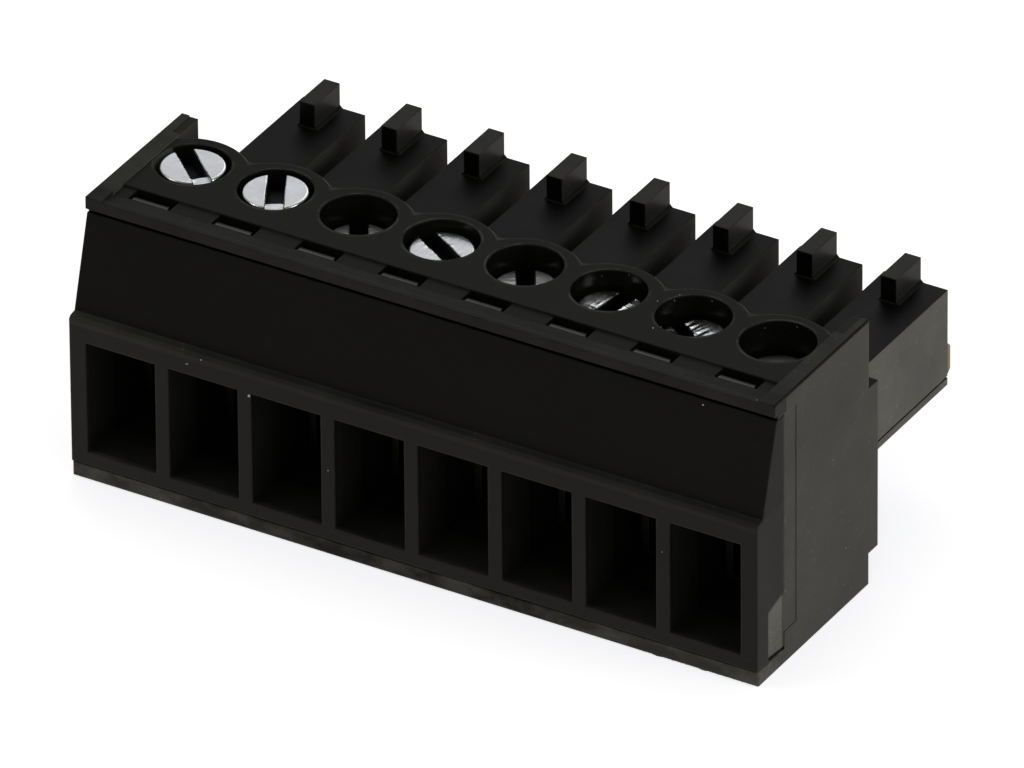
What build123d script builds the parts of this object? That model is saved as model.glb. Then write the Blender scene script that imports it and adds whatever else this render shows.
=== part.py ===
from build123d import *
import math
import os

# Plug half of a pluggable screw terminal block, eight ways, rising-cage clamps.
# Millimetres. +X runs along the row of wires, the wires enter at -Y, the pins at +Y,
# the screws are driven from +Z. The origin is the bottom centre of the whole plug.

# Driving dimensions; a reach is a distance from the row of screws
ways = 8
pitch = 3.5
end_margin = 2.15
body_height = 11.2
open_front_reach = 3.31
cover_depth = 1.94
nose_reach = 9.95
nub_proud = 0.2
half_length = (ways - 1) * pitch / 2 + end_margin
axis_x = [pitch * (way - (ways - 1) / 2) for way in range(ways)]
screw_row_y = (open_front_reach + cover_depth - nose_reach - nub_proud) / 2
open_front_y = screw_row_y - open_front_reach
front_y = open_front_y - cover_depth
nose_rear_y = screw_row_y + nose_reach

# Clearances
seam = 0.04
ledge_seam = 0.06
hook_side_gap = 0.14
cage_side_gap = 0.1
cage_floor_gap = 0.05
bar_gap = 0.1
bar_side_gap = 0.25
channel_gap = 0.05
bore_gap = 0.03
shank_side_gap = 0.05
shank_end_gap = 0.05
head_gap = 0.18
overcut = 1.0

# Main housing, outer form
ledge_height = 0.6
ledge_rounding = 0.12
band_overhang = 0.66
band_height = 0.5
band_thickness = 0.2
plate_thickness = 0.67
body_rear_reach = 2.78
end_wall = 0.68
top_face_drop = 0.08
lobe_radius = 2.35
lobe_depth = 1.9
lobe_reach = 0.47
valley_radius = 0.4
lobe_rim_break = 0.08
lip_width = 0.28
channel_drop = 0.07
corner_step_width = 0.36
corner_step_length = 1.3
corner_step_drop = 0.05
inner_half_length = half_length - end_wall
band_y = open_front_y - band_overhang
body_rear_y = screw_row_y + body_rear_reach
plate_underside = body_height - plate_thickness
lobe_foot = body_height - lobe_depth
lobe_y = screw_row_y - lobe_reach
valley_y = lobe_y + math.sqrt(lobe_radius**2 - (pitch / 2) ** 2)
top_face = body_height - top_face_drop
channel_face = top_face - channel_drop

# Plug nose
nose_bottom = 4.36
nose_height = 4.03
nose_wall = 0.35
nose_end_wall = 0.4
groove_width = 0.9
groove_depth = 2.2
groove_reach = 3.6
rib_width = 0.65
rib_offset = -0.1
rib_height = 1.04
rib_length = 1.8
rib_foot_bevel = 0.12
flange_thickness = 0.67
flange_bottom = 1.3
flange_drop = 0.08
foot_line_height = 0.08
foot_line_depth = 0.05
foot_line_rise = 0.3
nub_width = 0.26
nub_height = 1.25
nub_rise = 1.1
nub_break = 0.15
nose_top = nose_bottom + nose_height
groove_start_y = screw_row_y + groove_reach
flange_rear_y = body_rear_y + flange_thickness
flange_top = nose_top - flange_drop
foot_line_z = nose_bottom + foot_line_rise
nub_z = nose_bottom + nub_rise

# Clamp chambers, screw wells and pin channels
chamber_wall = 0.6
chamber_floor = 1.1
chamber_reach = 1.55
well_diameter = 2.82
well_depth = 2.45
channel_floor_wall = 0.49
channel_roof_wall = 0.54
pin_funnel = 0.15
chamber_half = (pitch - chamber_wall) / 2
chamber_roof = body_height - well_depth
chamber_back_y = screw_row_y + chamber_reach
channel_half = (pitch - groove_width) / 2 - nose_wall
channel_floor = nose_bottom + channel_floor_wall
channel_roof = nose_top - channel_roof_wall
nose_half_length = axis_x[-1] + channel_half + nose_end_wall

# Latches between the housing and the cover
slot_half = 0.88
slot_reach = 2.43
slot_width = 0.66
hook_pocket_depth = 1.08
hook_shoulder_depth = 0.63
hook_tip_drop = 0.02
hook_tip_width = 0.2
hook_root_depth = 0.2
side_latch_reach = 1.1
side_latch_thickness = 0.42
side_latch_sink = 0.02
side_latch_ramp = 0.04
side_latch_root_span = (0.7, 3.0)
side_latch_tip_span = (0.74, 2.68)
side_latch_gap = 0.05
panel_reach = 2.45
panel_sink = 0.02
panel_bottom = 1.3
panel_top_margin = 0.73
slot_rear_y = screw_row_y - slot_reach
slot_front_y = slot_rear_y - slot_width
hook_pocket_floor = plate_underside - hook_pocket_depth
hook_shoulder_z = plate_underside - hook_shoulder_depth
hook_half = slot_half - hook_side_gap
panel_front_y = screw_row_y - panel_reach
panel_top = body_height - panel_top_margin

# Wire entry cover
cover_top_depth = 0.55
cover_foot_depth = 1.55
frame_top = 6.86
frame_ledge_fall = 0.05
frame_break = 0.1
window_bar = 0.56
window_bottom = 1.2
window_top = 5.86
funnel_depth = 1.3
throat_side_step = 0.09
throat_floor_step = 0.1
throat_roof_step = 0.26
brow_wall = 0.65
brow_roof = 1.29
brow_pocket_fall = 0.46
brow_pocket_half = 1.25
cover_bottom = ledge_height + ledge_seam
cover_top = plate_underside - seam
cover_back_y = open_front_y - seam
cover_top_y = open_front_y - cover_top_depth
cover_foot_y = open_front_y - cover_foot_depth
window_half = (pitch - window_bar) / 2
throat_half = window_half - throat_side_step
throat_bottom = window_bottom + throat_floor_step
throat_top = window_top - throat_roof_step
brow_pocket_bottom = frame_top - brow_pocket_fall
brow_pocket_top = cover_top - brow_roof

# Clamp cages
cage_length = 2.9
cage_floor_thickness = 0.55
cage_wall = 0.3
cage_roof_thickness = 1.4
cage_corner = 0.35
grip_ridges = 3
grip_ridge_height = 0.14
grip_ridge_spacing = 0.7
cage_half = chamber_half - cage_side_gap
cage_inner_half = cage_half - cage_wall
cage_bottom = chamber_floor + cage_floor_gap
cage_inner_floor = cage_bottom + cage_floor_thickness

# Contacts
bar_thickness = 0.4
bar_reach = 1.6
riser_setback = 0.6
riser_top_gap = 0.4
socket_setback = 0.55
grip_spread = 0.56
mouth_spread = 0.8
grip_back = 1.2
arm_thickness = 0.32
arm_half = 0.6
bend_radius = 0.25
barb_reach = 0.1
barb_length = 0.45
bar_half = cage_inner_half - bar_side_gap
bar_underside = channel_floor + channel_gap
bar_top = bar_underside + bar_thickness
bar_front_y = screw_row_y - bar_reach
riser_y = chamber_back_y + riser_setback
bar_end_y = riser_y + arm_thickness / 2
riser_top_z = channel_roof - riser_top_gap
socket_end_y = nose_rear_y - socket_setback
socket_z = (channel_floor + channel_roof) / 2
cage_roof_underside = bar_top + bar_gap
cage_roof_top = cage_roof_underside + cage_roof_thickness

# Clamp screws, turned and backed out as they stand; the deepest one ends just over its bar
head_thickness = 0.95
head_break = 0.1
driver_slot_width = 0.68
driver_slot_depth = 0.7
head_depths = (0.05, 0.06, 1.09, 0.39, 0.92, 0.73, 0.83, 1.3)
slot_angles = (138, 118, 121, 149, 121, 82, 139, 25)
head_diameter = well_diameter - 2 * head_gap
shank_diameter = 2 * (cage_inner_half - shank_side_gap)
shank_length = top_face - max(head_depths) - head_thickness - bar_top - shank_end_gap

os.makedirs("parts", exist_ok=True)


# Side latch arm of the housing, right-hand end
with BuildPart() as side_latch:
    with BuildSketch(Plane.XY.offset(side_latch_root_span[0])):
        with BuildLine():
            Polyline(
                (half_length - side_latch_sink - side_latch_thickness, open_front_y + end_wall / 2),
                (half_length - side_latch_sink, open_front_y + end_wall / 2),
                (half_length - side_latch_sink, open_front_y),
                (half_length - side_latch_sink - side_latch_ramp, open_front_y - side_latch_reach),
                (half_length - side_latch_sink - side_latch_thickness, open_front_y - side_latch_reach),
                close=True,
            )
        make_face()
    extrude(amount=side_latch_root_span[1] - side_latch_root_span[0])
    with BuildSketch(Plane.YZ):
        with BuildLine():
            Polyline(
                (open_front_y + end_wall, side_latch_root_span[0]),
                (open_front_y, side_latch_root_span[0]),
                (open_front_y - side_latch_reach, side_latch_tip_span[0]),
                (open_front_y - side_latch_reach, side_latch_tip_span[1]),
                (open_front_y, side_latch_root_span[1]),
                (open_front_y + end_wall, side_latch_root_span[1]),
                close=True,
            )
        make_face()
    extrude(amount=half_length, mode=Mode.INTERSECT)


# Main housing
with BuildPart() as main_housing:
    # side profile, with the ledge under the cover and the band above it
    with BuildSketch(Plane.YZ):
        with BuildLine():
            Polyline(
                (front_y, 0),
                (front_y, ledge_height),
                (open_front_y, ledge_height),
                (open_front_y, plate_underside),
                (band_y + band_thickness, plate_underside),
                (band_y + band_thickness, body_height - band_height),
                (band_y, body_height - band_height),
                (band_y, body_height),
                (body_rear_y, body_height),
                (body_rear_y, 0),
                close=True,
            )
        make_face()
    extrude(amount=half_length, both=True)
    ledge_corners = main_housing.edges().filter_by(Axis.Z).filter_by_position(
        Axis.Y, front_y - seam, front_y + seam
    )
    ledge_foot = main_housing.edges().filter_by(Axis.X).filter_by_position(
        Axis.Y, front_y - seam, front_y + seam
    ).filter_by_position(Axis.Z, -seam, seam)
    fillet(ledge_corners + ledge_foot, ledge_rounding)

    # stop flange behind the body
    with BuildSketch(Plane.YZ):
        with Locations(((body_rear_y + flange_rear_y) / 2, (flange_bottom + flange_top) / 2)):
            Rectangle(flange_rear_y - body_rear_y, flange_top - flange_bottom)
    extrude(amount=half_length, both=True)

    # plug nose
    with BuildSketch(Plane.YZ):
        with Locations(((body_rear_y + nose_rear_y) / 2, (nose_bottom + nose_top) / 2)):
            Rectangle(nose_rear_y - body_rear_y, nose_top - nose_bottom)
    extrude(amount=nose_half_length, both=True)

    # the top plate ends in a row of lobes around the wells
    with BuildSketch(Plane.XY.offset(lobe_foot)):
        with Locations((0, (valley_y + body_rear_y + overcut) / 2)):
            Rectangle(2 * inner_half_length, body_rear_y + overcut - valley_y)
        with Locations(*[(x, lobe_y) for x in axis_x]):
            Circle(lobe_radius, mode=Mode.SUBTRACT)
    extrude(amount=body_height - lobe_foot, mode=Mode.SUBTRACT)
    valley_edges = main_housing.edges().filter_by(Axis.Z).filter_by(
        lambda edge: abs(edge.center().Y - valley_y) < seam and abs(edge.center().X) < axis_x[-1]
    )
    fillet(valley_edges, valley_radius)

    # top face a little below the end walls, and the shallow channel along the latch slots
    with BuildSketch(Plane.XY.offset(top_face)):
        with Locations((0, (band_y + body_rear_y) / 2)):
            Rectangle(2 * inner_half_length, body_rear_y - band_y + overcut)
    extrude(amount=top_face_drop, mode=Mode.SUBTRACT)
    with BuildSketch(Plane.XY.offset(channel_face)):
        with Locations((0, (band_y + lip_width + slot_rear_y) / 2)):
            Rectangle(2 * inner_half_length, slot_rear_y - band_y - lip_width)
    extrude(amount=channel_drop, mode=Mode.SUBTRACT)

    # broken rim along the lobes
    lobe_rims = main_housing.edges().filter_by(GeomType.CIRCLE).filter_by_position(
        Axis.Z, top_face - seam / 2, top_face + seam / 2
    ).filter_by(lambda edge: edge.radius > well_diameter / 2)
    chamfer(lobe_rims, lobe_rim_break)

    # the inner rear corner of each end wall is stepped down
    with BuildSketch(Plane.XY.offset(body_height - corner_step_drop)):
        for side in (-1, 1):
            with Locations((side * (inner_half_length + corner_step_width / 2), body_rear_y)):
                Rectangle(corner_step_width, 2 * corner_step_length)
    extrude(amount=corner_step_drop, mode=Mode.SUBTRACT)

    # grooves part the nose into one block for each way
    with BuildSketch(Plane.XY.offset(nose_top - groove_depth)):
        for x in axis_x[:-1]:
            with Locations((x + pitch / 2, (groove_start_y + nose_rear_y + overcut) / 2)):
                Rectangle(groove_width, nose_rear_y + overcut - groove_start_y)
    extrude(amount=groove_depth, mode=Mode.SUBTRACT)

    # polarizing rib on each block, bevelled into the block
    with BuildSketch(Plane.XY.offset(nose_top)):
        with Locations(*[(x + rib_offset, nose_rear_y - rib_length / 2) for x in axis_x]):
            Rectangle(rib_width, rib_length)
    extrude(amount=rib_height)
    rib_feet = main_housing.edges().filter_by(Axis.Y).filter_by_position(
        Axis.Z, nose_top - seam, nose_top + seam
    ).filter_by(lambda edge: abs(edge.length - rib_length) < seam)
    chamfer(rib_feet, rib_foot_bevel)

    # line along the foot of both nose ends
    with BuildSketch(Plane.XY.offset(foot_line_z)):
        for side in (-1, 1):
            with Locations((side * nose_half_length, (flange_rear_y + nose_rear_y + overcut) / 2)):
                Rectangle(2 * foot_line_depth, nose_rear_y + overcut - flange_rear_y)
    extrude(amount=foot_line_height, mode=Mode.SUBTRACT)

    # moulding nub on the rear face
    with BuildSketch(Plane.XZ.offset(-nose_rear_y)):
        with Locations((nose_half_length - nub_width / 2, nub_z)):
            Rectangle(nub_width, nub_height)
    extrude(amount=-nub_proud)
    nub_ends = main_housing.faces().sort_by(Axis.Y)[-1].edges().filter_by(Axis.X)
    chamfer(nub_ends, nub_break)

    # clamp chambers, open to the front
    with BuildSketch(Plane.XY.offset(chamber_floor)):
        with Locations(*[(x, (open_front_y - overcut + chamber_back_y) / 2) for x in axis_x]):
            Rectangle(2 * chamber_half, chamber_back_y + overcut - open_front_y)
    extrude(amount=chamber_roof - chamber_floor, mode=Mode.SUBTRACT)

    # screw wells
    with BuildSketch(Plane.XY.offset(chamber_roof)):
        with Locations(*[(x, screw_row_y) for x in axis_x]):
            Circle(well_diameter / 2)
    extrude(amount=body_height - chamber_roof, mode=Mode.SUBTRACT)

    # pin channels from the chambers to the rear face, funnelled at the mouth
    with BuildSketch(Plane.XZ.offset(-nose_rear_y)):
        with Locations(*[(x, socket_z) for x in axis_x]):
            Rectangle(2 * channel_half, channel_roof - channel_floor)
    extrude(amount=nose_rear_y - chamber_back_y, mode=Mode.SUBTRACT)
    with BuildSketch(Plane.XZ.offset(-nose_rear_y)):
        with Locations(*[(x, socket_z) for x in axis_x]):
            Rectangle(2 * (channel_half + pin_funnel), channel_roof - channel_floor + 2 * pin_funnel)
    extrude(amount=pin_funnel, taper=45, mode=Mode.SUBTRACT)

    # pockets under the top plate and latch slots through it
    with BuildSketch(Plane.XY.offset(hook_pocket_floor)):
        with Locations(*[(x, (open_front_y - overcut + slot_rear_y) / 2) for x in axis_x]):
            Rectangle(2 * slot_half, slot_rear_y + overcut - open_front_y)
    extrude(amount=plate_underside - hook_pocket_floor, mode=Mode.SUBTRACT)
    with BuildSketch(Plane.XY.offset(plate_underside)):
        with Locations(*[(x, (slot_front_y + slot_rear_y) / 2) for x in axis_x]):
            Rectangle(2 * slot_half, slot_rear_y - slot_front_y)
    extrude(amount=body_height - plate_underside, mode=Mode.SUBTRACT)

    # both end faces are sunk a little between the seam and the marking panel
    with BuildSketch(Plane.XY.offset(panel_bottom)):
        for side in (-1, 1):
            with Locations((side * half_length, (open_front_y + panel_front_y) / 2)):
                Rectangle(2 * panel_sink, panel_front_y - open_front_y)
    extrude(amount=panel_top - panel_bottom, mode=Mode.SUBTRACT)

    # side latch arms
    add(side_latch.part)
    mirror(side_latch.part, about=Plane.YZ)

main_housing.part.label = "main_housing"
export_step(main_housing.part, "parts/main_housing.step")


# Wire entry cover
with BuildPart() as front_cover:
    # side profile: upright frame, ledge and the leaning brow above it
    with BuildSketch(Plane.YZ):
        with BuildLine():
            Polyline(
                (front_y, cover_bottom),
                (front_y, frame_top - frame_ledge_fall - frame_break),
                (front_y + frame_break, frame_top - frame_ledge_fall),
                (cover_foot_y, frame_top),
                (cover_top_y, cover_top),
                (cover_back_y, cover_top),
                (cover_back_y, cover_bottom),
                close=True,
            )
        make_face()
    extrude(amount=half_length, both=True)

    # wire windows narrow to a throat
    throat_middle = (throat_bottom + throat_top) / 2
    for x in axis_x:
        with BuildSketch(Plane.XZ.offset(-front_y)):
            with Locations((x, (window_bottom + window_top) / 2)):
                Rectangle(2 * window_half, window_top - window_bottom)
        with BuildSketch(Plane.XZ.offset(-front_y - funnel_depth)):
            with Locations((x, throat_middle)):
                Rectangle(2 * throat_half, throat_top - throat_bottom)
        loft(mode=Mode.SUBTRACT)
    with BuildSketch(Plane.XZ.offset(-front_y - funnel_depth)):
        with Locations(*[(x, throat_middle) for x in axis_x]):
            Rectangle(2 * throat_half, throat_top - throat_bottom)
    extrude(amount=front_y + funnel_depth - cover_back_y, mode=Mode.SUBTRACT)

    # pockets behind the brow keep its wall even
    brow_lean = (cover_top_y - cover_foot_y) / (cover_top - frame_top)
    brow_pocket_top_y = cover_foot_y + brow_wall + brow_lean * (brow_pocket_top - frame_top)
    for x in axis_x:
        with BuildSketch(Plane.YZ.offset(x)):
            with BuildLine():
                Polyline(
                    (cover_back_y, brow_pocket_bottom),
                    (cover_foot_y + brow_wall, brow_pocket_bottom),
                    (cover_foot_y + brow_wall, frame_top),
                    (brow_pocket_top_y, brow_pocket_top),
                    (cover_back_y, brow_pocket_top),
                    close=True,
                )
            make_face()
        extrude(amount=brow_pocket_half, both=True, mode=Mode.SUBTRACT)

    # hooks that reach under the top plate and snap up into its slots
    hook_tip_z = channel_face - hook_tip_drop
    for x in axis_x:
        with BuildSketch(Plane.YZ.offset(x)):
            with BuildLine():
                Polyline(
                    (cover_back_y - hook_root_depth, hook_pocket_floor + seam),
                    (slot_rear_y - seam, hook_pocket_floor + seam),
                    (slot_rear_y - seam, hook_shoulder_z),
                    (slot_front_y + seam + hook_tip_width, hook_tip_z),
                    (slot_front_y + seam, hook_tip_z),
                    (slot_front_y + seam, cover_top),
                    (cover_back_y - hook_root_depth, cover_top),
                    close=True,
                )
            make_face()
        extrude(amount=hook_half, both=True)

    # trapezoid windows for the side latch arms
    with BuildSketch(Plane.YZ.offset(half_length)) as latch_window:
        with BuildLine():
            Polyline(
                (open_front_y, cover_bottom),
                (open_front_y - side_latch_reach - side_latch_gap, side_latch_tip_span[0] - side_latch_gap),
                (open_front_y - side_latch_reach - side_latch_gap, side_latch_tip_span[1] + side_latch_gap),
                (open_front_y, side_latch_root_span[1] + side_latch_gap),
                close=True,
            )
        make_face()
    latch_window_depth = side_latch_sink + side_latch_thickness + side_latch_gap
    extrude(amount=-latch_window_depth, mode=Mode.SUBTRACT)
    with BuildSketch(Plane.YZ.offset(-half_length)):
        add(latch_window.sketch_local)
    extrude(amount=latch_window_depth, mode=Mode.SUBTRACT)

front_cover.part.label = "front_cover"
export_step(front_cover.part, "parts/front_cover.step")


# Clamp screws
for way, x in enumerate(axis_x):
    head_top = top_face - head_depths[way]
    head_underside = head_top - head_thickness
    with BuildPart() as clamp_screw:
        with BuildSketch(Plane.XY.offset(head_underside)):
            with Locations((x, screw_row_y)):
                Circle(head_diameter / 2)
        extrude(amount=head_thickness)
        chamfer(clamp_screw.edges().sort_by(Axis.Z)[-1], head_break)
        with BuildSketch(Plane.XY.offset(head_underside - shank_length)):
            with Locations((x, screw_row_y)):
                Circle(shank_diameter / 2)
        extrude(amount=shank_length)
        with BuildSketch(Plane.XY.offset(head_top - driver_slot_depth)):
            with Locations(Location((x, screw_row_y, 0), (0, 0, slot_angles[way]))):
                Rectangle(2 * head_diameter, driver_slot_width)
        extrude(amount=driver_slot_depth, mode=Mode.SUBTRACT)
    clamp_screw.part.label = f"clamp_screw_{way + 1}"
    export_step(clamp_screw.part, f"parts/clamp_screw_{way + 1}.step")


# Clamp cages
for way, x in enumerate(axis_x):
    with BuildPart() as clamp_cage:
        with BuildSketch(Plane.XZ.offset(-screw_row_y)) as cage_profile:
            with Locations((x, (cage_bottom + cage_roof_top) / 2)):
                Rectangle(2 * cage_half, cage_roof_top - cage_bottom)
            chamfer(cage_profile.vertices(), cage_corner)
            with Locations((x, (cage_inner_floor + cage_roof_underside) / 2)):
                Rectangle(
                    2 * cage_inner_half,
                    cage_roof_underside - cage_inner_floor,
                    mode=Mode.SUBTRACT,
                )
        extrude(amount=cage_length / 2, both=True)
        # wire grip ridges across the floor
        for ridge in range(grip_ridges):
            ridge_y = screw_row_y + grip_ridge_spacing * (ridge - (grip_ridges - 1) / 2)
            with BuildSketch(Plane.YZ.offset(x)):
                with BuildLine():
                    Polyline(
                        (ridge_y - grip_ridge_height, cage_inner_floor),
                        (ridge_y, cage_inner_floor + grip_ridge_height),
                        (ridge_y + grip_ridge_height, cage_inner_floor),
                        close=True,
                    )
                make_face()
            extrude(amount=cage_inner_half, both=True)
        # bore for the screw's thread through the roof
        with BuildSketch(Plane.XY.offset(cage_roof_underside)):
            with Locations((x, screw_row_y)):
                Circle(shank_diameter / 2 + bore_gap)
        extrude(amount=cage_roof_thickness, mode=Mode.SUBTRACT)
    clamp_cage.part.label = f"clamp_cage_{way + 1}"
    export_step(clamp_cage.part, f"parts/clamp_cage_{way + 1}.step")


# Contacts: a flat bar under the screw that rises into a two-armed pin socket
for way, x in enumerate(axis_x):
    with BuildPart() as contact:
        bar_middle = bar_underside + bar_thickness / 2
        with BuildSketch(Plane.XY.offset(bar_underside)):
            with BuildLine():
                Polyline(
                    (x - bar_half, bar_front_y),
                    (x + bar_half, bar_front_y),
                    (x + bar_half, chamber_back_y),
                    (x + bar_half + barb_reach, chamber_back_y + barb_length),
                    (x + bar_half, chamber_back_y + barb_length),
                    (x + bar_half, bar_end_y),
                    (x - bar_half, bar_end_y),
                    (x - bar_half, chamber_back_y + barb_length),
                    (x - bar_half - barb_reach, chamber_back_y + barb_length),
                    (x - bar_half, chamber_back_y),
                    close=True,
                )
            make_face()
        extrude(amount=bar_thickness)
        grip_y = socket_end_y - grip_back
        with BuildSketch(Plane.YZ.offset(x)):
            with BuildLine():
                FilletPolyline(
                    (riser_y, bar_middle),
                    (riser_y, riser_top_z),
                    (grip_y, socket_z + grip_spread),
                    (socket_end_y, socket_z + mouth_spread),
                    radius=bend_radius,
                )
            trace(line_width=arm_thickness)
            with BuildLine():
                FilletPolyline(
                    (riser_y, bar_middle),
                    (grip_y, socket_z - grip_spread),
                    (socket_end_y, socket_z - mouth_spread),
                    radius=bend_radius,
                )
            trace(line_width=arm_thickness)
        extrude(amount=arm_half, both=True)
    contact.part.label = f"contact_{way + 1}"
    export_step(contact.part, f"parts/contact_{way + 1}.step")
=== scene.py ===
import math
import random

import bmesh
import bpy
from mathutils import Matrix, Vector, noise
from mathutils.bvhtree import BVHTree


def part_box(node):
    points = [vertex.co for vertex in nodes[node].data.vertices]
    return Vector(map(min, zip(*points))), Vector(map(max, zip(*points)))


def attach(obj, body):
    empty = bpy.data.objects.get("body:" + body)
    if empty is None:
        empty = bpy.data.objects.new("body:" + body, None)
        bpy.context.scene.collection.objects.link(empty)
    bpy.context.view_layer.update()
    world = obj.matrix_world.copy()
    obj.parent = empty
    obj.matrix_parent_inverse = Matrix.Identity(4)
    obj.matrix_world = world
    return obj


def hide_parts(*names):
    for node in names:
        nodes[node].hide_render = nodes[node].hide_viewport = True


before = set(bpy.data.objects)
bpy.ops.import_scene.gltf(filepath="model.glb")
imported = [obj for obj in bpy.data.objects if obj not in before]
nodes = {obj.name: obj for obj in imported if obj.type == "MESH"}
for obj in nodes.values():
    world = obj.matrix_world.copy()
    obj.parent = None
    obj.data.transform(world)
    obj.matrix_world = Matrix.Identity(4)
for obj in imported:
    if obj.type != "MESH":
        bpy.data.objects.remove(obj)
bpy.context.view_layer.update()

MM = 0.001
WAYS = 8
PITCH = 3.5 * MM

# Camera, fitted to the photograph
IMAGE_WIDTH = 1024
IMAGE_HEIGHT = 768
FOCAL_PIXELS = 21286.9
CAMERA_AZIMUTH = math.radians(30.778)
CAMERA_ELEVATION = math.radians(31.856)
CAMERA_ROLL = math.radians(-0.476)
CAMERA_TARGET = Vector((1.146, -2.45, 5.891)) * MM
CAMERA_DISTANCE = 0.769314
CAMERA_CLIP = (0.05, 50)
SENSOR = 36.0

towards = Vector((
    math.sin(CAMERA_AZIMUTH) * math.cos(CAMERA_ELEVATION),
    -math.cos(CAMERA_AZIMUTH) * math.cos(CAMERA_ELEVATION),
    math.sin(CAMERA_ELEVATION),
))
level_right = Vector((math.cos(CAMERA_AZIMUTH), math.sin(CAMERA_AZIMUTH), 0))
level_up = towards.cross(level_right)
view_right = math.cos(CAMERA_ROLL) * level_right + math.sin(CAMERA_ROLL) * level_up
view_up = math.cos(CAMERA_ROLL) * level_up - math.sin(CAMERA_ROLL) * level_right
camera_place = CAMERA_TARGET + CAMERA_DISTANCE * towards

camera_data = bpy.data.cameras.new("camera")
camera_data.sensor_width = SENSOR
camera_data.lens = FOCAL_PIXELS / IMAGE_WIDTH * SENSOR
camera_data.clip_start, camera_data.clip_end = CAMERA_CLIP
camera = bpy.data.objects.new("camera", camera_data)
bpy.context.scene.collection.objects.link(camera)
camera_matrix = Matrix((view_right, view_up, towards)).transposed().to_4x4()
camera_matrix.translation = camera_place
camera.matrix_world = camera_matrix
bpy.context.scene.camera = camera
bpy.context.scene.view_settings.view_transform = "Standard"

# Light
LAMP_AIM = Vector((0, 0, 0.006))
WARM_LIGHT = (1, 0.99, 0.94)
LAMPS = (
    # name, place, width, power, colour
    ("lamp_rear", (-0.12, 0.50, 0.36), 0.20, 0.18, (1, 1, 1)),
    ("lamp_right", (0.50, 0.05, 0.26), 0.22, 0.6, WARM_LIGHT),
    ("lamp_left", (-0.42, -0.25, 0.42), 0.22, 0.35, WARM_LIGHT),
    ("lamp_top", (-0.14, 0.22, 0.60), 0.24, 0.2, WARM_LIGHT),
)
# The room in reflections: dim, and bright round the way that the top faces mirror
MIRRORED_WAY = (-0.43, 0.73, 0.53)
ROOM_RAMP = (
    # cosine of the angle to that way, colour
    (0.55, (0.102, 0.100, 0.086, 1)),
    (0.97, (0.62, 0.63, 0.65, 1)),
)
FILL_LIGHT = (0.425, 0.420, 0.380, 1)
BACKDROP = (0.95, 0.95, 0.95, 1)


def area_lamp(name, place, size, power, colour):
    data = bpy.data.lights.new(name, "AREA")
    data.size = size
    data.energy = power
    data.color = colour
    lamp = bpy.data.objects.new(name, data)
    bpy.context.scene.collection.objects.link(lamp)
    lamp.location = place
    lamp.rotation_mode = "QUATERNION"
    lamp.rotation_quaternion = (LAMP_AIM - Vector(place)).to_track_quat("-Z", "Y")


def world_light():
    """Pale to the camera, an even fill for diffuse rays, and the room in reflections."""
    world = bpy.data.worlds.new("studio")
    bpy.context.scene.world = world
    world.use_nodes = True
    tree = world.node_tree
    background = tree.nodes["Background"]
    coordinates = tree.nodes.new("ShaderNodeTexCoord")
    facing = tree.nodes.new("ShaderNodeVectorMath")
    facing.operation = "DOT_PRODUCT"
    facing.inputs[1].default_value = MIRRORED_WAY
    tree.links.new(coordinates.outputs["Generated"], facing.inputs[0])
    ramp = tree.nodes.new("ShaderNodeValToRGB")
    tree.links.new(facing.outputs["Value"], ramp.inputs["Fac"])
    for element, (position, colour) in zip(ramp.color_ramp.elements, ROOM_RAMP):
        element.position = position
        element.color = colour
    rays = tree.nodes.new("ShaderNodeLightPath")
    colour = ramp.outputs["Color"]
    for kind, light in (("Is Diffuse Ray", FILL_LIGHT), ("Is Camera Ray", BACKDROP)):
        choice = tree.nodes.new("ShaderNodeMix")
        choice.data_type = "RGBA"
        tree.links.new(rays.outputs[kind], choice.inputs["Factor"])
        tree.links.new(colour, choice.inputs["A"])
        choice.inputs["B"].default_value = light
        colour = choice.outputs["Result"]
    tree.links.new(colour, background.inputs["Color"])
    background.inputs["Strength"].default_value = 1


for lamp_values in LAMPS:
    area_lamp(*lamp_values)
world_light()

# Borders of the regions that have a look of their own, in mm
BORDER_BLUR = 0.02
RING_BLUR = 0.01
WELL_ROW_Y = -2.45
LOBE_ROW_Y = -2.92
WELL_RADIUS = 1.45
WELL_RIM = (1.44, 1.51)
LOBE_RIM = (2.24, 2.37)
LOBE_START_Y = -2.0
ROW_END_X = 13.75
PLATE_TOP_Z = (11.02, 11.15)
LIP_Y = -5.6
LIP_LOW_Z = 10.55
TUNNEL_END_X = 13.9
TUNNEL_Y = (-7.5, 0.0)
TUNNEL_Z = (0.75, 6.3)
END_WALL_X = 13.5
END_FACE_X = 14
TOP_Z = 11.1
WALL_TOP_Z = 11.16
PAINTED_SHADOW_LINE_X = 14.33
WELL_Z = (8.7, TOP_Z)
NOSE_Y = 1.02
BLOCK_TOP_Z = 8.42
RIB_TOP_Z = 9.35
NUB_X = 13.2
NUB_Y = 7.52
FRONT_Y = -5.9
LEDGE_TOP_Z = 0.62
LEDGE_PALE_X = (4, 14)
ARM_TOP_Z = 3.2
BROW_FOOT_Z = 6.87
CREST_LOW_Z = 6.5
CREST_Y = -7.2
TIP_LOW_Z = 10.9
TIP_FRONT_Y = -5.40
COVER_FADE_X = (-14, -2)

# How much of the normal lies along an axis for a face to look that way: 0 below, 1 above
FACING = (0.6, 0.9)
# How far the rounded normal agrees with the flat one: 0 on faces, 1 on edges
EDGE_TURN = (0.998, 0.92)
# The cover's frame is paler by these factors at its left end and past the fade: painted light, as
# if falling from the left
COVER_LIGHT_FADE = (1.5, 1.0)
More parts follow.
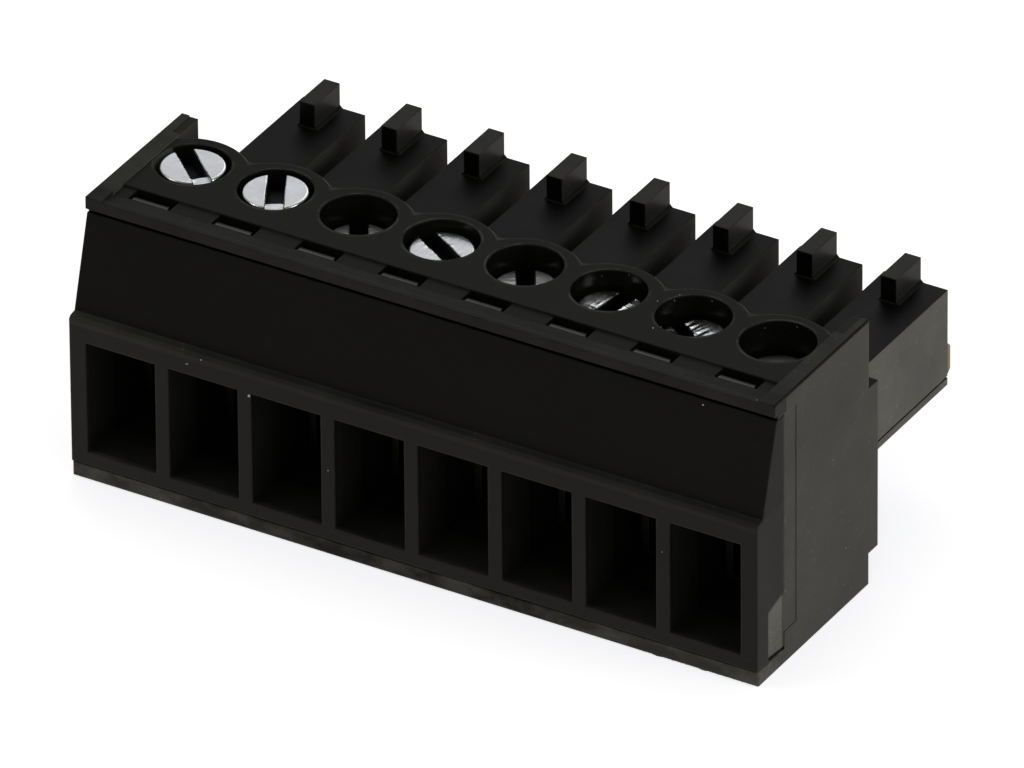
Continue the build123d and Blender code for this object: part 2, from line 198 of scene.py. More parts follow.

# Base colour of the plastic in each region, linear; a pair is the range of a mottled one. Many of
# these are painted light and shade: regions set lighter or darker than the plastic is, to stand in
# for how the light falls, as marked below
LEVEL = {
    "side": 0.006,
    # painted light: the tops paler than the sides
    "top": 0.0098,
    # painted shade on the nose's fronts and block tops, painted light on its groove and rib sides
    # and its rib tops
    "nose_front": 0.003,
    "groove": 0.04,
    "rib_side": 0.024,
    "block_top": 0.002,
    "rib_top": 0.022,
    # painted highlights: pale lines on the lobe rims and well rims
    "lobe_rim": 0.034,
    "well_rim": (0.010, 0.045),
    # painted light on the end faces, the end wall tops and the front lip
    "end_wall": 0.062,
    "nose_end": 0.108,
    "wall_top": (0.020, 0.036),
    "lip": (0.012, 0.022),
    # painted light on the ledge, paler towards its ends, and on the arm
    "ledge": (0.012, 0.065),
    "ledge_left": 0.028,
    "ledge_right": 0.05,
    "arm": 0.118,
    "inside": 0.012,
    # painted shadow line along the top edge of the end walls
    "painted_shadow_line": 0.001,
    "frame": 0.010,
    # painted light: the frame's top faces paler than its front
    "frame_top": 0.017,
    # painted shade on the brow
    "brow": 0.0045,
    "cover_end": 0.009,
    # painted shade on the hook tips, with a painted highlight along their front edges
    "tip": 0.002,
    "tip_front": 0.075,
}
NUB_COLOUR = (0.34, 0.28, 0.13, 1)
PLASTIC_TONE = (1.0, 0.99, 0.92, 1)
ROUGH = {
    "side": 0.5,
    "top": 0.62,
    "nose_side": 0.4,
    "nose_top": 0.5,
    "well": 0.2,
    "arm": 0.3,
    "groove": 0.7,
    "inside": 0.85,
    "frame": 0.55,
    "brow": 0.6,
    "tip": 0.35,
}
# How much paler the edges are, from rubbing wear and a painted edge highlight
WEAR_AND_HIGHLIGHT = {"edges": 0.016, "end_wall": 0.03, "top": 0.012}
# Radius of the rounding that the shading gives to sharp edges
PLASTIC_EDGE = 0.1 * MM
METAL_EDGE = 0.05 * MM


class Tree:
    """The node tree of one material, with short ways to add to it."""

    def __init__(self, material):
        material.use_nodes = True
        self.tree = material.node_tree
        self.tree.nodes.clear()
        self.output = self.tree.nodes.new("ShaderNodeOutputMaterial")
        self.place = self.add("ShaderNodeTexCoord").outputs["Object"]

    def add(self, kind, **settings):
        node = self.tree.nodes.new(kind)
        for key, value in settings.items():
            setattr(node, key, value)
        return node

    def feed(self, value, socket):
        """Links another node's output to the socket, or sets a fixed number or colour on it."""
        if isinstance(value, (tuple, float, int)):
            socket.default_value = value
        else:
            self.tree.links.new(value, socket)

    def noise(self, scale, detail=2.0, roughness=0.5, stretch=(1, 1, 1), distortion=0.0):
        mapping = self.add("ShaderNodeMapping")
        self.feed(stretch, mapping.inputs["Scale"])
        self.feed(self.place, mapping.inputs["Vector"])
        node = self.add("ShaderNodeTexNoise")
        self.feed(scale, node.inputs["Scale"])
        self.feed(detail, node.inputs["Detail"])
        self.feed(roughness, node.inputs["Roughness"])
        self.feed(distortion, node.inputs["Distortion"])
        self.feed(mapping.outputs["Vector"], node.inputs["Vector"])
        return node.outputs["Fac"]

    def remap(self, value, low, high, to_low=0.0, to_high=1.0):
        node = self.add("ShaderNodeMapRange")
        self.feed(value, node.inputs["Value"])
        self.feed(low, node.inputs["From Min"])
        self.feed(high, node.inputs["From Max"])
        self.feed(to_low, node.inputs["To Min"])
        self.feed(to_high, node.inputs["To Max"])
        return node.outputs["Result"]

    def mix(self, factor, first, second, kind="RGBA"):
        """The second colour where the factor is 1 and the first where it is 0."""
        node = self.add("ShaderNodeMix", data_type=kind)
        for value, socket in ((factor, "Factor"), (first, "A"), (second, "B")):
            self.feed(value, node.inputs[socket])
        return node.outputs["Result"]

    def blend(self, mask, outside, inside):
        """A number that is inside where the mask is 1 and outside where it is 0."""
        return self.mix(mask, outside, inside, "FLOAT")

    def layers(self, value, *regions):
        """The value with that of each region laid over it in turn."""
        for mask, inside in regions:
            value = self.blend(mask, value, inside)
        return value

    def math(self, operation, first, second):
        node = self.add("ShaderNodeMath", operation=operation)
        for index, value in enumerate((first, second)):
            self.feed(value, node.inputs[index])
        return node.outputs["Value"]

    def both(self, *masks):
        """The product of all the masks."""
        value = masks[0]
        for mask in masks[1:]:
            value = self.math("MULTIPLY", value, mask)
        return value

    def axis(self, name):
        """One coordinate of the point on the piece, in metres."""
        node = self.add("ShaderNodeSeparateXYZ")
        self.feed(self.place, node.inputs[0])
        return node.outputs[name]

    def above(self, name, level, blur=BORDER_BLUR):
        """1 where the coordinate is past the level, in mm, and 0 before it."""
        return self.remap(self.axis(name), (level - blur) * MM, (level + blur) * MM)

    def below(self, name, level, blur=BORDER_BLUR):
        """1 where the coordinate is before the level, in mm, and 0 past it."""
        return self.remap(self.axis(name), (level + blur) * MM, (level - blur) * MM)

    def span(self, name, low, high):
        """Two masks that together leave what lies between the levels."""
        return self.above(name, low), self.below(name, high)

    def beyond(self, name, level):
        """1 past the level on either side of the middle."""
        return self.math("MAXIMUM", self.above(name, level), self.below(name, -level))

    def within(self, radius, centre_y):
        """1 inside a circle of this radius, in mm, around each way."""
        across = self.add("ShaderNodeMath", operation="WRAP")
        self.feed(self.axis("X"), across.inputs[0])
        self.feed(PITCH, across.inputs[1])
        self.feed(0, across.inputs[2])
        side = self.math("SUBTRACT", across.outputs["Value"], PITCH / 2)
        along = self.math("SUBTRACT", self.axis("Y"), centre_y * MM)
        square = self.math(
            "ADD", self.math("MULTIPLY", side, side), self.math("MULTIPLY", along, along)
        )
        outer, inner = ((reach * MM) ** 2 for reach in (radius + RING_BLUR, radius - RING_BLUR))
        return self.both(self.remap(square, outer, inner), *self.span("X", -ROW_END_X, ROW_END_X))

    def ring(self, radii, centre_y):
        """1 between two circles around each way, at the level of the top plate."""
        inner, outer = radii
        hole = self.math("SUBTRACT", 1.0, self.within(inner, centre_y))
        return self.both(self.within(outer, centre_y), hole, *self.span("Z", *PLATE_TOP_Z))

    def lip(self):
        """1 on the band along the front edge of the top."""
        return self.both(self.above("Z", LIP_LOW_Z), self.below("Y", LIP_Y))

    def inside(self):
        """1 behind the wire windows, on the walls of the tunnels and chambers."""
        across = self.both(*self.span("X", -TUNNEL_END_X, TUNNEL_END_X))
        along = self.both(*self.span("Y", *TUNNEL_Y))
        return self.both(across, along, *self.span("Z", *TUNNEL_Z))

    def facing(self, name):
        """1 on faces that look along the axis, 0 on the others."""
        geometry = self.add("ShaderNodeNewGeometry")
        node = self.add("ShaderNodeSeparateXYZ")
        self.feed(geometry.outputs["Normal"], node.inputs[0])
        return self.remap(self.math("ABSOLUTE", node.outputs[name], 0.0), *FACING)

    def edge_mask(self, radius):
        """1 on the sharp edges, 0 on the faces, and the rounded normal."""
        bevel = self.add("ShaderNodeBevel", samples=6)
        self.feed(radius, bevel.inputs["Radius"])
        geometry = self.add("ShaderNodeNewGeometry")
        dot = self.add("ShaderNodeVectorMath", operation="DOT_PRODUCT")
        self.feed(bevel.outputs["Normal"], dot.inputs[0])
        self.feed(geometry.outputs["Normal"], dot.inputs[1])
        return self.remap(dot.outputs["Value"], *EDGE_TURN), bevel.outputs["Normal"]

    def bump(self, height, distance, normal=None, strength=1.0):
        node = self.add("ShaderNodeBump")
        self.feed(strength, node.inputs["Strength"])
        self.feed(distance, node.inputs["Distance"])
        self.feed(height, node.inputs["Height"])
        if normal is not None:
            self.feed(normal, node.inputs["Normal"])
        return node.outputs["Normal"]

    def surface(self, colour, roughness, normal, metallic=0.0, specular=0.5):
        shader = self.add("ShaderNodeBsdfPrincipled")
        self.feed(colour, shader.inputs["Base Color"])
        self.feed(roughness, shader.inputs["Roughness"])
        self.feed(normal, shader.inputs["Normal"])
        shader.inputs["Metallic"].default_value = metallic
        shader.inputs["Specular IOR Level"].default_value = specular
        self.feed(shader.outputs["BSDF"], self.output.inputs["Surface"])


def new_material(name):
    material = bpy.data.materials.new(name)
    return material, Tree(material)


# Materials
def moulded_plastic(name, specular, regions):
    """Black glass-filled plastic: fine spark-eroded grain, soft cloudiness, rubbed edges that also
    carry a painted edge highlight.
    """
    material, t = new_material(name)
    cloud = t.noise(320, detail=4, roughness=0.6)
    grain = t.noise(9000, detail=2, roughness=0.6)
    fibre = t.noise(5200, detail=1, stretch=(1, 0.12, 1), distortion=0.4)
    rubbed_and_highlit = t.noise(1500, detail=3)
    scuffs = t.noise(260, detail=6, roughness=0.75, stretch=(0.25, 1, 1.6), distortion=0.6)
    specks = t.noise(7000, detail=1)
    edges, rounded = t.edge_mask(PLASTIC_EDGE)
    worn_and_highlit = t.both(edges, t.remap(rubbed_and_highlit, 0.3, 0.7, 0.2, 1.0))
    level, rough, tint, wear = regions(t)
    level = t.both(level, t.remap(cloud, 0.3, 0.7, 0.72, 1.28))
    # paler edges and scuffs: rubbing wear, and on the edges a painted highlight
    level = t.math("ADD", level, t.both(worn_and_highlit, wear))
    level = t.math("ADD", level, t.both(t.remap(scuffs, 0.56, 0.72), wear, 0.2))
    level = t.both(level, t.remap(specks, 0.73, 0.77, 1.0, 2.2))
    colour = t.mix(level, (0, 0, 0, 1), PLASTIC_TONE)
    if tint is not None:
        mask, tint_colour = tint
        colour = t.mix(mask, colour, tint_colour)
    height = t.math("ADD", grain, t.math("MULTIPLY", fibre, 0.6))
    normal = t.bump(height, 0.005 * MM, rounded, 0.6)
    uneven = t.math("ADD", cloud, t.math("MULTIPLY", grain, 0.35))
    rough = t.math("ADD", rough, t.remap(uneven, 0.4, 0.95, -0.06, 0.07))
    t.surface(colour, rough, normal, specular=specular)
    return material


def housing_regions(t):
    """Level, roughness, tint and wear of the housing, by place and facing; the level holds painted
    light and shade, and the wear a painted edge highlight.
    """
    up = t.facing("Z")
    end = t.facing("X")
    nose = t.above("Y", NOSE_Y)
    outer = t.both(end, t.beyond("X", END_WALL_X))
    ways = t.span("X", -END_WALL_X, END_WALL_X)
    groove = t.both(end, nose, *ways, t.below("Z", BLOCK_TOP_Z))
    # painted highlights: pale rings on the lobe rims, and below on the well rims
    lobe_rim = t.both(t.ring(LOBE_RIM, LOBE_ROW_Y), t.above("Y", LOBE_START_Y))
    well = t.both(t.within(WELL_RADIUS, WELL_ROW_Y), *t.span("Z", *WELL_Z))
    wall_top = t.both(t.above("Z", WALL_TOP_Z), up)
    ledge = t.both(t.below("Y", FRONT_Y), t.below("Z", LEDGE_TOP_Z))
    arm = t.both(t.below("Y", FRONT_Y), *t.span("Z", LEDGE_TOP_Z, ARM_TOP_Z))
    # painted shadow line: a dark strip along the top edge of the end faces, for the shadow gap
    # there
    painted_shadow_line = t.both(t.above("X", PAINTED_SHADOW_LINE_X, RING_BLUR), t.above("Z", TOP_Z))
    nub = t.both(t.above("Y", NUB_Y), t.above("X", NUB_X))

    mottle = t.noise(900, detail=5, roughness=0.7, stretch=(0.5, 1, 1))
    # painted light: the ledge paler towards both ends
    start, stop = (x * MM for x in LEDGE_PALE_X)
    painted_ledge_end_light = t.math(
        "MAXIMUM",
        t.remap(t.axis("X"), -start, -stop, 0, LEVEL["ledge_left"]),
        t.remap(t.axis("X"), start, stop, 0, LEVEL["ledge_right"]),
    )
    # painted light and shade on the nose by facing: pale groove and rib sides and rib tops, dark
    # fronts and block tops
    groove_or_rib = t.blend(t.above("Z", BLOCK_TOP_Z), LEVEL["groove"], LEVEL["rib_side"])
    nose_level = t.blend(
        up,
        t.blend(end, LEVEL["nose_front"], groove_or_rib),
        t.blend(t.above("Z", RIB_TOP_Z), LEVEL["block_top"], LEVEL["rib_top"]),
    )
    # painted light and shade by region: paler tops, rims, end faces, wall tops, lip, ledge and arm,
    # and a dark shadow line on the end walls
    level = t.layers(
        t.blend(nose, t.blend(up, LEVEL["side"], LEVEL["top"]), nose_level),
        (lobe_rim, LEVEL["lobe_rim"]),
        (t.ring(WELL_RIM, WELL_ROW_Y), t.remap(mottle, 0.45, 0.6, *LEVEL["well_rim"])),
        (outer, t.blend(nose, LEVEL["end_wall"], LEVEL["nose_end"])),
        (wall_top, t.remap(mottle, 0.3, 0.7, *LEVEL["wall_top"])),
        (t.lip(), t.remap(mottle, 0.3, 0.7, *LEVEL["lip"])),
        (ledge, t.math("ADD", painted_ledge_end_light, t.remap(mottle, 0.42, 0.6, *LEVEL["ledge"]))),
        (arm, LEVEL["arm"]),
        (t.inside(), LEVEL["inside"]),
        (painted_shadow_line, LEVEL["painted_shadow_line"]),
    )
    rough = t.layers(
        t.blend(
            nose,
            t.blend(up, ROUGH["side"], ROUGH["top"]),
            t.blend(up, ROUGH["nose_side"], ROUGH["nose_top"]),
        ),
        (well, ROUGH["well"]),
        (arm, ROUGH["arm"]),
        (groove, ROUGH["groove"]),
        (t.inside(), ROUGH["inside"]),
    )
    # paler edges: rubbing wear and a painted edge highlight, strongest on the end walls
    wear = t.blend(
        t.math("MAXIMUM", t.inside(), t.above("Z", TOP_Z)),
        t.blend(outer, WEAR_AND_HIGHLIGHT["edges"], WEAR_AND_HIGHLIGHT["end_wall"]),
        t.blend(t.inside(), WEAR_AND_HIGHLIGHT["top"], 0.0),
    )
    return level, rough, (nub, NUB_COLOUR), wear


def cover_regions(t):
    """Level, roughness, tint and wear of the cover, by place and facing; the level holds painted
    light and shade, and the wear a painted edge highlight.
    """
    brow = t.above("Z", BROW_FOOT_Z)
    crest = t.both(*t.span("Z", CREST_LOW_Z, BROW_FOOT_Z), t.below("Y", CREST_Y))
    end = t.both(t.facing("X"), t.beyond("X", END_FACE_X))
    # painted shade on the hook tips, with a painted highlight along their front edges
    tips = t.both(t.above("Z", TIP_LOW_Z), t.above("Y", LIP_Y))
    mottle = t.noise(900, detail=5, roughness=0.7)
    start, stop = (x * MM for x in COVER_FADE_X)
    # painted light: the frame's top faces and crest paler than its front, and the frame paler
    # towards its left end
    frame_level = t.blend(
        t.math("MAXIMUM", t.facing("Z"), crest), LEVEL["frame"], LEVEL["frame_top"]
    )
    frame_level = t.both(frame_level, t.remap(t.axis("X"), start, stop, *COVER_LIGHT_FADE))
    # painted shade on the brow and painted light on the lip
    level = t.layers(
        frame_level,
        (brow, LEVEL["brow"]),
        (t.lip(), t.remap(mottle, 0.3, 0.7, *LEVEL["lip"])),
        (end, LEVEL["cover_end"]),
        (tips, t.blend(t.below("Y", TIP_FRONT_Y), LEVEL["tip"], LEVEL["tip_front"])),
        (t.inside(), LEVEL["inside"]),
    )
    rough = t.layers(
        ROUGH["frame"],
        (brow, ROUGH["brow"]),
        (t.inside(), ROUGH["inside"]),
        (tips, ROUGH["tip"]),
    )
    # paler edges: rubbing wear and a painted edge highlight
    wear = t.layers(WEAR_AND_HIGHLIGHT["edges"], (tips, 0.0), (t.inside(), 0.0))
    return level, rough, None, wear


def plated_metal(name, colour, dull_colour, rough_range, scratch_depth):
    """Plated metal with fine scratches and a slightly uneven plating."""
    material, t = new_material(name)
    cloud = t.noise(1400, detail=4, roughness=0.6)
    scratches = t.noise(6000, detail=2, stretch=(1, 0.08, 0.3), distortion=0.2)
    crossed = t.noise(6000, detail=2, stretch=(0.1, 1, 0.3), distortion=0.2)
    rounded = t.edge_mask(METAL_EDGE)[1]
    normal = t.bump(t.math("ADD", scratches, crossed), scratch_depth, rounded, 0.5)
    base = t.mix(t.remap(cloud, 0.3, 0.7), colour, dull_colour)
    t.surface(base, t.remap(cloud, 0.3, 0.7, *rough_range), normal, metallic=1.0)
    return material


housing_plastic = moulded_plastic("housing_plastic", 0.1, housing_regions)
cover_plastic = moulded_plastic("cover_plastic", 0.15, cover_regions)
screw_zinc = plated_metal(
    "screw_zinc", (0.90, 0.91, 0.93, 1), (0.70, 0.70, 0.70, 1), (0.15, 0.32), 0.008 * MM
)
screw_dull = plated_metal(
    "screw_dull", (0.90, 0.91, 0.93, 1), (0.74, 0.74, 0.74, 1), (0.34, 0.5), 0.012 * MM
)
# painted shade: a near-black metal for the deeper faces of the slots
screw_slot_shade = plated_metal(
    "screw_slot_shade", (0.05, 0.055, 0.055, 1), (0.03, 0.03, 0.03, 1), (0.45, 0.65), 0.010 * MM
)
# painted shade: the cage and the contact are far darker than their plating, for the shade behind
# the windows
cage_nickel = plated_metal(
    "cage_nickel", (0.08, 0.077, 0.073, 1), (0.05, 0.048, 0.045, 1), (0.42, 0.6), 0.004 * MM
)
contact_tin = plated_metal(
    "contact_tin", (0.30, 0.29, 0.28, 1), (0.22, 0.21, 0.20, 1), (0.4, 0.55), 0.003 * MM
)
FINISHES = {
    "main_housing": housing_plastic,
    "front_cover": cover_plastic,
    "clamp_screw": screw_zinc,
    "clamp_cage": cage_nickel,
    "contact": contact_tin,
}
for node_name, node in nodes.items():
    node.data.materials.clear()
    finish = next(FINISHES[start] for start in FINISHES if node_name.startswith(start))
    node.data.materials.append(finish)


def new_piece(name, builder):
    """An object in the scene with the mesh that the builder holds."""
    mesh = bpy.data.meshes.new(name)
    builder.to_mesh(mesh)
    builder.free()
    piece = bpy.data.objects.new(name, mesh)
    bpy.context.scene.collection.objects.link(piece)
    return piece


# Clamp screws with worn slots and a real thread. The first five lists hold one value for each
# way: degrees, share of the full wear, mm broken off, mm smeared over, and 1 for a shallow end
SLOT_ANGLES = (138, 118, 121, 149, 121, 82, 146, 25)
SLOT_WEAR = (0.15, 0.15, 0.35, 0.35, 0.5, 0.8, 1.0, 0.5)
SLOT_BROKEN = (0, 0, 0, 0, 0, 0.02, 0.15, 0)
SLOT_SMEAR = (0, 0, 0, 0, 0, 0, 0.2, 0)
SLOT_SHALLOW = (1, 1, 0, 0, 0, 0, 0, 0)
# Ways, counted from 0, with a duller head
DULL_WAYS = (2, 4, 7)
HEAD_THICKNESS = 0.95 * MM
HEAD_BREAK = 0.1 * MM
HEAD_STEPS = 44
HEAD_COLUMNS = 104
HEAD_INSET = 0.999
SLOT_HALF = 0.34 * MM
SLOT_DEPTH = 0.7 * MM
SLOT_CLEARANCE = 1.02
SLOT_WALL_LEAN = 0.06
SLOT_WALL_DEPTHS = (0.04, 0.12, 0.3, 0.6, 0.9, 1.0)
SLOT_EDGE_ROWS = (1.0, 0.98, 0.95, 0.9)
SLOT_FLOOR_ROWS = (-0.6, -0.2)
# share of the slot's depth below which the faces get the painted slot shade
SLOT_SHADE_FROM = 0.3
SHALLOW_START = 0.48
SHALLOW_RAMP = 0.08
SHALLOW_DEPTH = 0.13 * MM
SHANK_RADIUS = 1.0 * MM
SHANK_AROUND = 48
SHANK_RINGS = 88
THREAD_PITCH = 0.4 * MM
THREAD_DEPTH = 0.2 * MM
THREAD_CREST = 1.25
THREAD_RUN_IN = 0.4 * MM
THREAD_RUN_OUT = 0.3 * MM
TIP_BREAK = 0.15 * MM
NECK = 0.3 * MM
SHARP_ANGLE = math.radians(40)


def worn_edge(along, across, wear, way):
    """How far the driver has pushed the slot's edge up or broken it down at this place.

    The noise has its scales per mm, and its heights are in mm."""
    along, across = along / MM, across / MM
    coarse = noise.noise(Vector((along * 1.7, math.copysign(3, across), way * 7.3)))
    teeth_row = math.copysign(5, across) + 0.8 * across
    teeth = noise.noise(Vector((along * 6.5, teeth_row, way * 3.1)))
    streaks = noise.noise(Vector((along * 1.3, across * 9, way * 5.7)))
    raised = 0.05 * max(0, coarse + 0.35) + 0.06 * teeth + 0.03 * streaks
    return MM * (wear * raised - SLOT_BROKEN[way])


def screw_rows(radius, smear):
    """Rows across the head: place across, depth in the slot from 0 to 1, distance from its edge."""
    rows = []
    for step in range(HEAD_STEPS + 1):
        across = radius * math.sin(math.pi / 2 * (step / HEAD_STEPS - 1)) * HEAD_INSET
        if across < -SLOT_HALF * SLOT_CLEARANCE:
            rows.append((across, 0.0))
    rows.extend((-SLOT_HALF * (2 - share), 0.0) for share in SLOT_EDGE_ROWS)
    rows.extend((-SLOT_HALF * (1 - SLOT_WALL_LEAN * depth), depth) for depth in SLOT_WALL_DEPTHS)
    rows.extend((SLOT_HALF * across, 1.0) for across in SLOT_FLOOR_ROWS)
    far = []
    for across, depth in reversed(rows):
        if depth == 0:
            share = min(1.0, (radius + across) / (radius - SLOT_HALF))
        else:
            share = -across / SLOT_HALF
        far.append((-across - smear * share, depth, -across - SLOT_HALF))
    return [(across, depth, -across - SLOT_HALF) for across, depth in rows] + far


def head_height(along, across, depth, away, radius, way):
    """Height of the worn head over the plain one's top at this place."""
    wear = SLOT_WEAR[way]
    rim = (math.hypot(along, across) - radius + HEAD_BREAK) / HEAD_BREAK
    height = -HEAD_BREAK * (1 - math.sqrt(max(0.0, 1 - min(max(0.0, rim), 1.0) ** 2)))
    if depth == 0:
        reach = (0.25 + 0.5 * wear) * MM
        near = max(0.0, 1 - away / reach)
        return height + near * near * worn_edge(along, across, wear, way)
    floor = SLOT_DEPTH
    if SLOT_SHALLOW[way] and along > SHALLOW_START * radius:
        rise = min(1.0, (along - SHALLOW_START * radius) / (SHALLOW_RAMP * radius))
        floor += (SHALLOW_DEPTH - SLOT_DEPTH) * rise * rise * (3 - 2 * rise)
        floor += 0.03 * MM * noise.noise(Vector((along / MM * 4, across / MM * 4, way)))
    edge = worn_edge(along, across, wear, way) * max(0.0, 1 - 3 * depth)
    return min(height, 0.0) * (1 - depth) - floor * depth + edge


def screw_head(builder, centre, radius, way):
    """Rows of points across the slot, with a skirt round them. Returns the skirt's lower rim."""
    angle = math.radians(SLOT_ANGLES[way])
    if math.sin(angle) > 0:
        angle += math.pi
    slot_along = Vector((math.cos(angle), math.sin(angle), 0))
    slot_across = Vector((-math.sin(angle), math.cos(angle), 0))
    grid = []
    for across, depth, away in screw_rows(radius, SLOT_SMEAR[way] * MM):
        half = math.sqrt(radius * radius - across * across)
        row = []
        for column in range(HEAD_COLUMNS + 1):
            along = half * math.sin(math.pi / 2 * (2 * column / HEAD_COLUMNS - 1))
            height = Vector((0, 0, head_height(along, across, depth, away, radius, way)))
            place = centre + slot_along * along + slot_across * across + height
            row.append(builder.verts.new(place))
        grid.append(row)
    # faces below this depth take the second material, the painted slot shade
    slot_floor = centre.z - SLOT_SHADE_FROM * SLOT_DEPTH
    for first, second in zip(grid, grid[1:]):
        for column in range(HEAD_COLUMNS):
            after = column + 1
            face = builder.faces.new((first[column], first[after], second[after], second[column]))
            face.material_index = int(face.calc_center_median().z < slot_floor)
    right_side = [row[-1] for row in grid]
    left_side = [row[0] for row in reversed(grid)]
    rim = right_side + list(reversed(grid[-1][1:-1])) + left_side + grid[0][1:-1]
    under = centre.z - HEAD_THICKNESS
    skirt = [builder.verts.new((point.co.x, point.co.y, under)) for point in rim]
    for index in range(len(rim)):
        after = (index + 1) % len(rim)
        builder.faces.new((rim[index], skirt[index], skirt[after], rim[after]))
    return skirt


def screw_shank(builder, top, length):
    """A plain neck, then the thread as one helix that fades in and out."""
    shank = []
    for ring in range(SHANK_RINGS + 1):
        down = length * ring / SHANK_RINGS
        left = length - down
        fade = min(1.0, max(0.0, (down - NECK) / THREAD_RUN_IN), max(0.0, left / THREAD_RUN_OUT))
        points = []
        for step in range(SHANK_AROUND):
            turn = step / SHANK_AROUND
            phase = (down / THREAD_PITCH + turn) % 1
            cut = min(1.0, THREAD_CREST * abs(2 * phase - 1))
            reach = SHANK_RADIUS - THREAD_DEPTH * (1 - cut) * fade
            if left < TIP_BREAK:
                reach -= TIP_BREAK - left
            round_axis = Vector((math.cos(2 * math.pi * turn), math.sin(2 * math.pi * turn), 0))
            place = Vector((top.x, top.y, top.z - down)) + round_axis * reach
            points.append(builder.verts.new(place))
        shank.append(points)
    for first, second in zip(shank, shank[1:]):
        for step in range(SHANK_AROUND):
            after = (step + 1) % SHANK_AROUND
            builder.faces.new((first[step], second[step], second[after], first[after]))
    builder.faces.new(shank[-1])
    builder.faces.new(list(reversed(shank[0])))


def worn_screw(way):
    """Stands in for the plain screw of this way, in the same place and size."""
    node_name = f"clamp_screw_{way + 1}"
    low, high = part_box(node_name)
    centre = Vector(((low.x + high.x) / 2, (low.y + high.y) / 2, high.z))
    builder = bmesh.new()
    skirt = screw_head(builder, centre, (high.x - low.x) / 2, way)
    under = Vector((centre.x, centre.y, centre.z - HEAD_THICKNESS))
    screw_shank(builder, under, under.z - low.z)
    underside = builder.faces.new(skirt)
    bmesh.ops.triangulate(builder, faces=[underside])
    bmesh.ops.recalc_face_normals(builder, faces=builder.faces)
    screw = new_piece(f"worn_screw_{way + 1}", builder)
    screw.data.shade_smooth()
    screw.data.set_sharp_from_angle(angle=SHARP_ANGLE)
    screw.data.materials.append(screw_dull if way in DULL_WAYS else screw_zinc)
    screw.data.materials.append(screw_slot_shade)
    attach(screw, f"screw_{way + 1}")
    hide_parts(node_name)


for way in range(WAYS):
    worn_screw(way)

# Dust on the plastic, and pale grains that are painted glints on the well walls and a frame post:
# the pixel of the photograph that shows each speck, and its radius in mm
DUST_AND_GLINT_SPECKS = (
    (249, 396, 0.055),
    (201, 360, 0.025),
    (186, 364, 0.02),
    (703, 405, 0.028),
    (653, 328, 0.025),
    (661, 327, 0.02),
    (666, 330.5, 0.022),
    (678, 334.5, 0.018),
    (757, 400, 0.02),
    (629, 275, 0.014),
    (602, 276, 0.014),
    # painted glints on the walls of the wells
    (674.5, 300.5, 0.017),
    (712, 301, 0.016),
    (765, 328, 0.013),
    (797, 327, 0.015),
    (657.5, 301, 0.02),
    (679.5, 294.8, 0.016),
    # painted glint on a frame post
    (328, 470.7, 0.022),
    (187.5, 364, 0.02),
    (833, 460, 0.018),
    (842, 512, 0.016),
    (771, 640, 0.018),
    (846, 548, 0.02),
    (808, 532, 0.014),
    (662, 552, 0.02),
)
DUST_AND_GLINT_COLOURS = ((0.5, 0.5, 0.48, 1), (0.75, 0.75, 0.73, 1))
GRAIN_UNEVEN = 0.15
GRAIN_FLATTENED = 0.4
GRAIN_SUNK = 0.1
surface_trees = [
    BVHTree.FromPolygons(
        [vertex.co for vertex in nodes[name].data.vertices],
        [polygon.vertices for polygon in nodes[name].data.polygons],
    )
    for name in ("main_housing", "front_cover")
]


def surface_under(column, row):
    """The place and normal on the housing or the cover seen at this pixel."""
    right = (column - IMAGE_WIDTH / 2) / FOCAL_PIXELS
    up = (IMAGE_HEIGHT / 2 - row) / FOCAL_PIXELS
    ray = (view_right * right + view_up * up - towards).normalized()
    hits = [tree.ray_cast(camera_place, ray) for tree in surface_trees]
    return min((hit for hit in hits if hit[0] is not None), key=lambda hit: hit[3])[:2]


def add_grain(builder, place, normal, size, chance):
    """A small flattened, uneven grain that sits with its underside on the surface."""
    turn = normal.to_track_quat("Z", "Y").to_matrix().to_4x4()
    made = bmesh.ops.create_icosphere(builder, subdivisions=2, radius=size)
    for vertex in made["verts"]:
        vertex.co *= 1 + chance.uniform(-GRAIN_UNEVEN, GRAIN_UNEVEN)
        vertex.co.z = max(vertex.co.z * GRAIN_FLATTENED, -GRAIN_SUNK * size)
        vertex.co = (turn @ vertex.co) + place


def make_dust_and_glints():
    chance = random.Random(5)
    builder = bmesh.new()
    for column, row, size in DUST_AND_GLINT_SPECKS:
        place, normal = surface_under(column, row)
        add_grain(builder, place, normal, size * MM, chance)
    specks = new_piece("dust_and_glints", builder)
    material, t = new_material("dust_and_glints")
    cloud = t.noise(9000, detail=3)
    colour = t.mix(t.remap(cloud, 0.3, 0.7), *DUST_AND_GLINT_COLOURS)
    rough = t.remap(cloud, 0.2, 0.8, 0.7, 0.9)
    t.surface(colour, rough, t.bump(cloud, 0.01 * MM), specular=0.3)
    specks.data.materials.append(material)
    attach(specks, "housing")


make_dust_and_glints()

# Ragged flash along the foot of the ledge, towards its right end
FLASH_START = 9.2 * MM
FLASH_END_MARGIN = 0.15 * MM
FLASH_ROOT = 0.16 * MM
FLASH_ROOT_HEIGHT = 0.03 * MM
FLASH_TIP_HEIGHT = 0.012 * MM
FLASH_STEP = (0.05, 0.11)


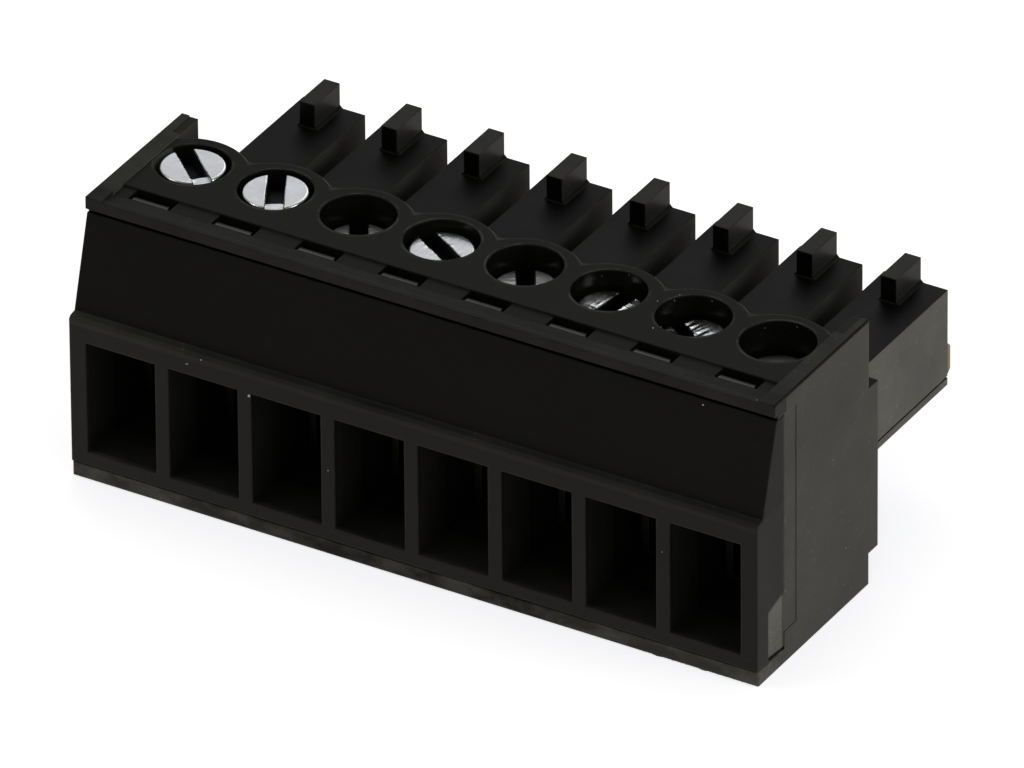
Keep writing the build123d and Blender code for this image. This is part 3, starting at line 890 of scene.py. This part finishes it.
def make_flash():
    chance = random.Random(11)
    ledge_low, ledge_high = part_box("main_housing")
    root = ledge_low.y + FLASH_ROOT
    builder = bmesh.new()
    sections = []
    along = FLASH_START
    while along < ledge_high.x - FLASH_END_MARGIN:
        ragged = 0.5 - 0.5 * noise.noise(Vector((along / MM * 2.1, 0, 4)))
        tip = ledge_low.y + MM * (0.012 + 0.1 * ragged + chance.uniform(0, 0.035))
        corners = ((root, 0), (tip, 0), (tip, FLASH_TIP_HEIGHT), (root, FLASH_ROOT_HEIGHT))
        sections.append([builder.verts.new((along, y, z)) for y, z in corners])
        along += MM * chance.uniform(*FLASH_STEP)
    for first, second in zip(sections, sections[1:]):
        for corner in range(4):
            after = (corner + 1) % 4
            builder.faces.new((first[corner], second[corner], second[after], first[after]))
    for section in (sections[0], sections[-1]):
        builder.faces.new(section)
    bmesh.ops.recalc_face_normals(builder, faces=builder.faces)
    piece = new_piece("flash", builder)
    piece.data.materials.append(housing_plastic)
    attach(piece, "housing")


make_flash()

# Floor: pale paper that keeps its shadow; in reflections it fades into the dim room
FLOOR_REACH = 3.0
PAPER_COLOUR = (0.7, 0.7, 0.7, 1)
PAPER_GLOW = (0.98, 0.985, 1.03, 1)
PAPER_GLOW_STRENGTH = 0.70
SHEET_COLOUR = (1.04, 1.0, 0.96, 1)
# Metres from the middle where the fade starts and ends, and the strengths there
SHEET_FADE = (0.06, 0.4, 0.85, 0.1)


def make_floor():
    builder = bmesh.new()
    corners = ((-1, -1), (1, -1), (1, 1), (-1, 1))
    builder.faces.new(
        [builder.verts.new((x * FLOOR_REACH, y * FLOOR_REACH, 0)) for x, y in corners]
    )
    floor = new_piece("floor", builder)
    material, t = new_material("floor")
    rays = t.add("ShaderNodeLightPath").outputs
    seen = t.math("MAXIMUM", rays["Is Camera Ray"], rays["Is Glossy Ray"])
    seen = t.math("MAXIMUM", seen, rays["Is Transmission Ray"])
    paper = t.add("ShaderNodeBsdfDiffuse")
    t.feed(PAPER_COLOUR, paper.inputs["Color"])
    glow = t.add("ShaderNodeEmission")
    t.feed(PAPER_GLOW, glow.inputs["Color"])
    t.feed(t.math("MULTIPLY", seen, PAPER_GLOW_STRENGTH), glow.inputs["Strength"])
    lit = t.add("ShaderNodeAddShader")
    t.feed(paper.outputs["BSDF"], lit.inputs[0])
    t.feed(glow.outputs["Emission"], lit.inputs[1])
    distance = t.add("ShaderNodeVectorMath", operation="LENGTH")
    t.feed(t.place, distance.inputs[0])
    sheet = t.add("ShaderNodeEmission")
    t.feed(SHEET_COLOUR, sheet.inputs["Color"])
    t.feed(t.remap(distance.outputs["Value"], *SHEET_FADE), sheet.inputs["Strength"])
    choice = t.add("ShaderNodeMixShader")
    t.feed(rays["Is Glossy Ray"], choice.inputs["Fac"])
    t.feed(lit.outputs["Shader"], choice.inputs[1])
    t.feed(sheet.outputs["Emission"], choice.inputs[2])
    t.feed(choice.outputs["Shader"], t.output.inputs["Surface"])
    floor.data.materials.append(material)


make_floor()
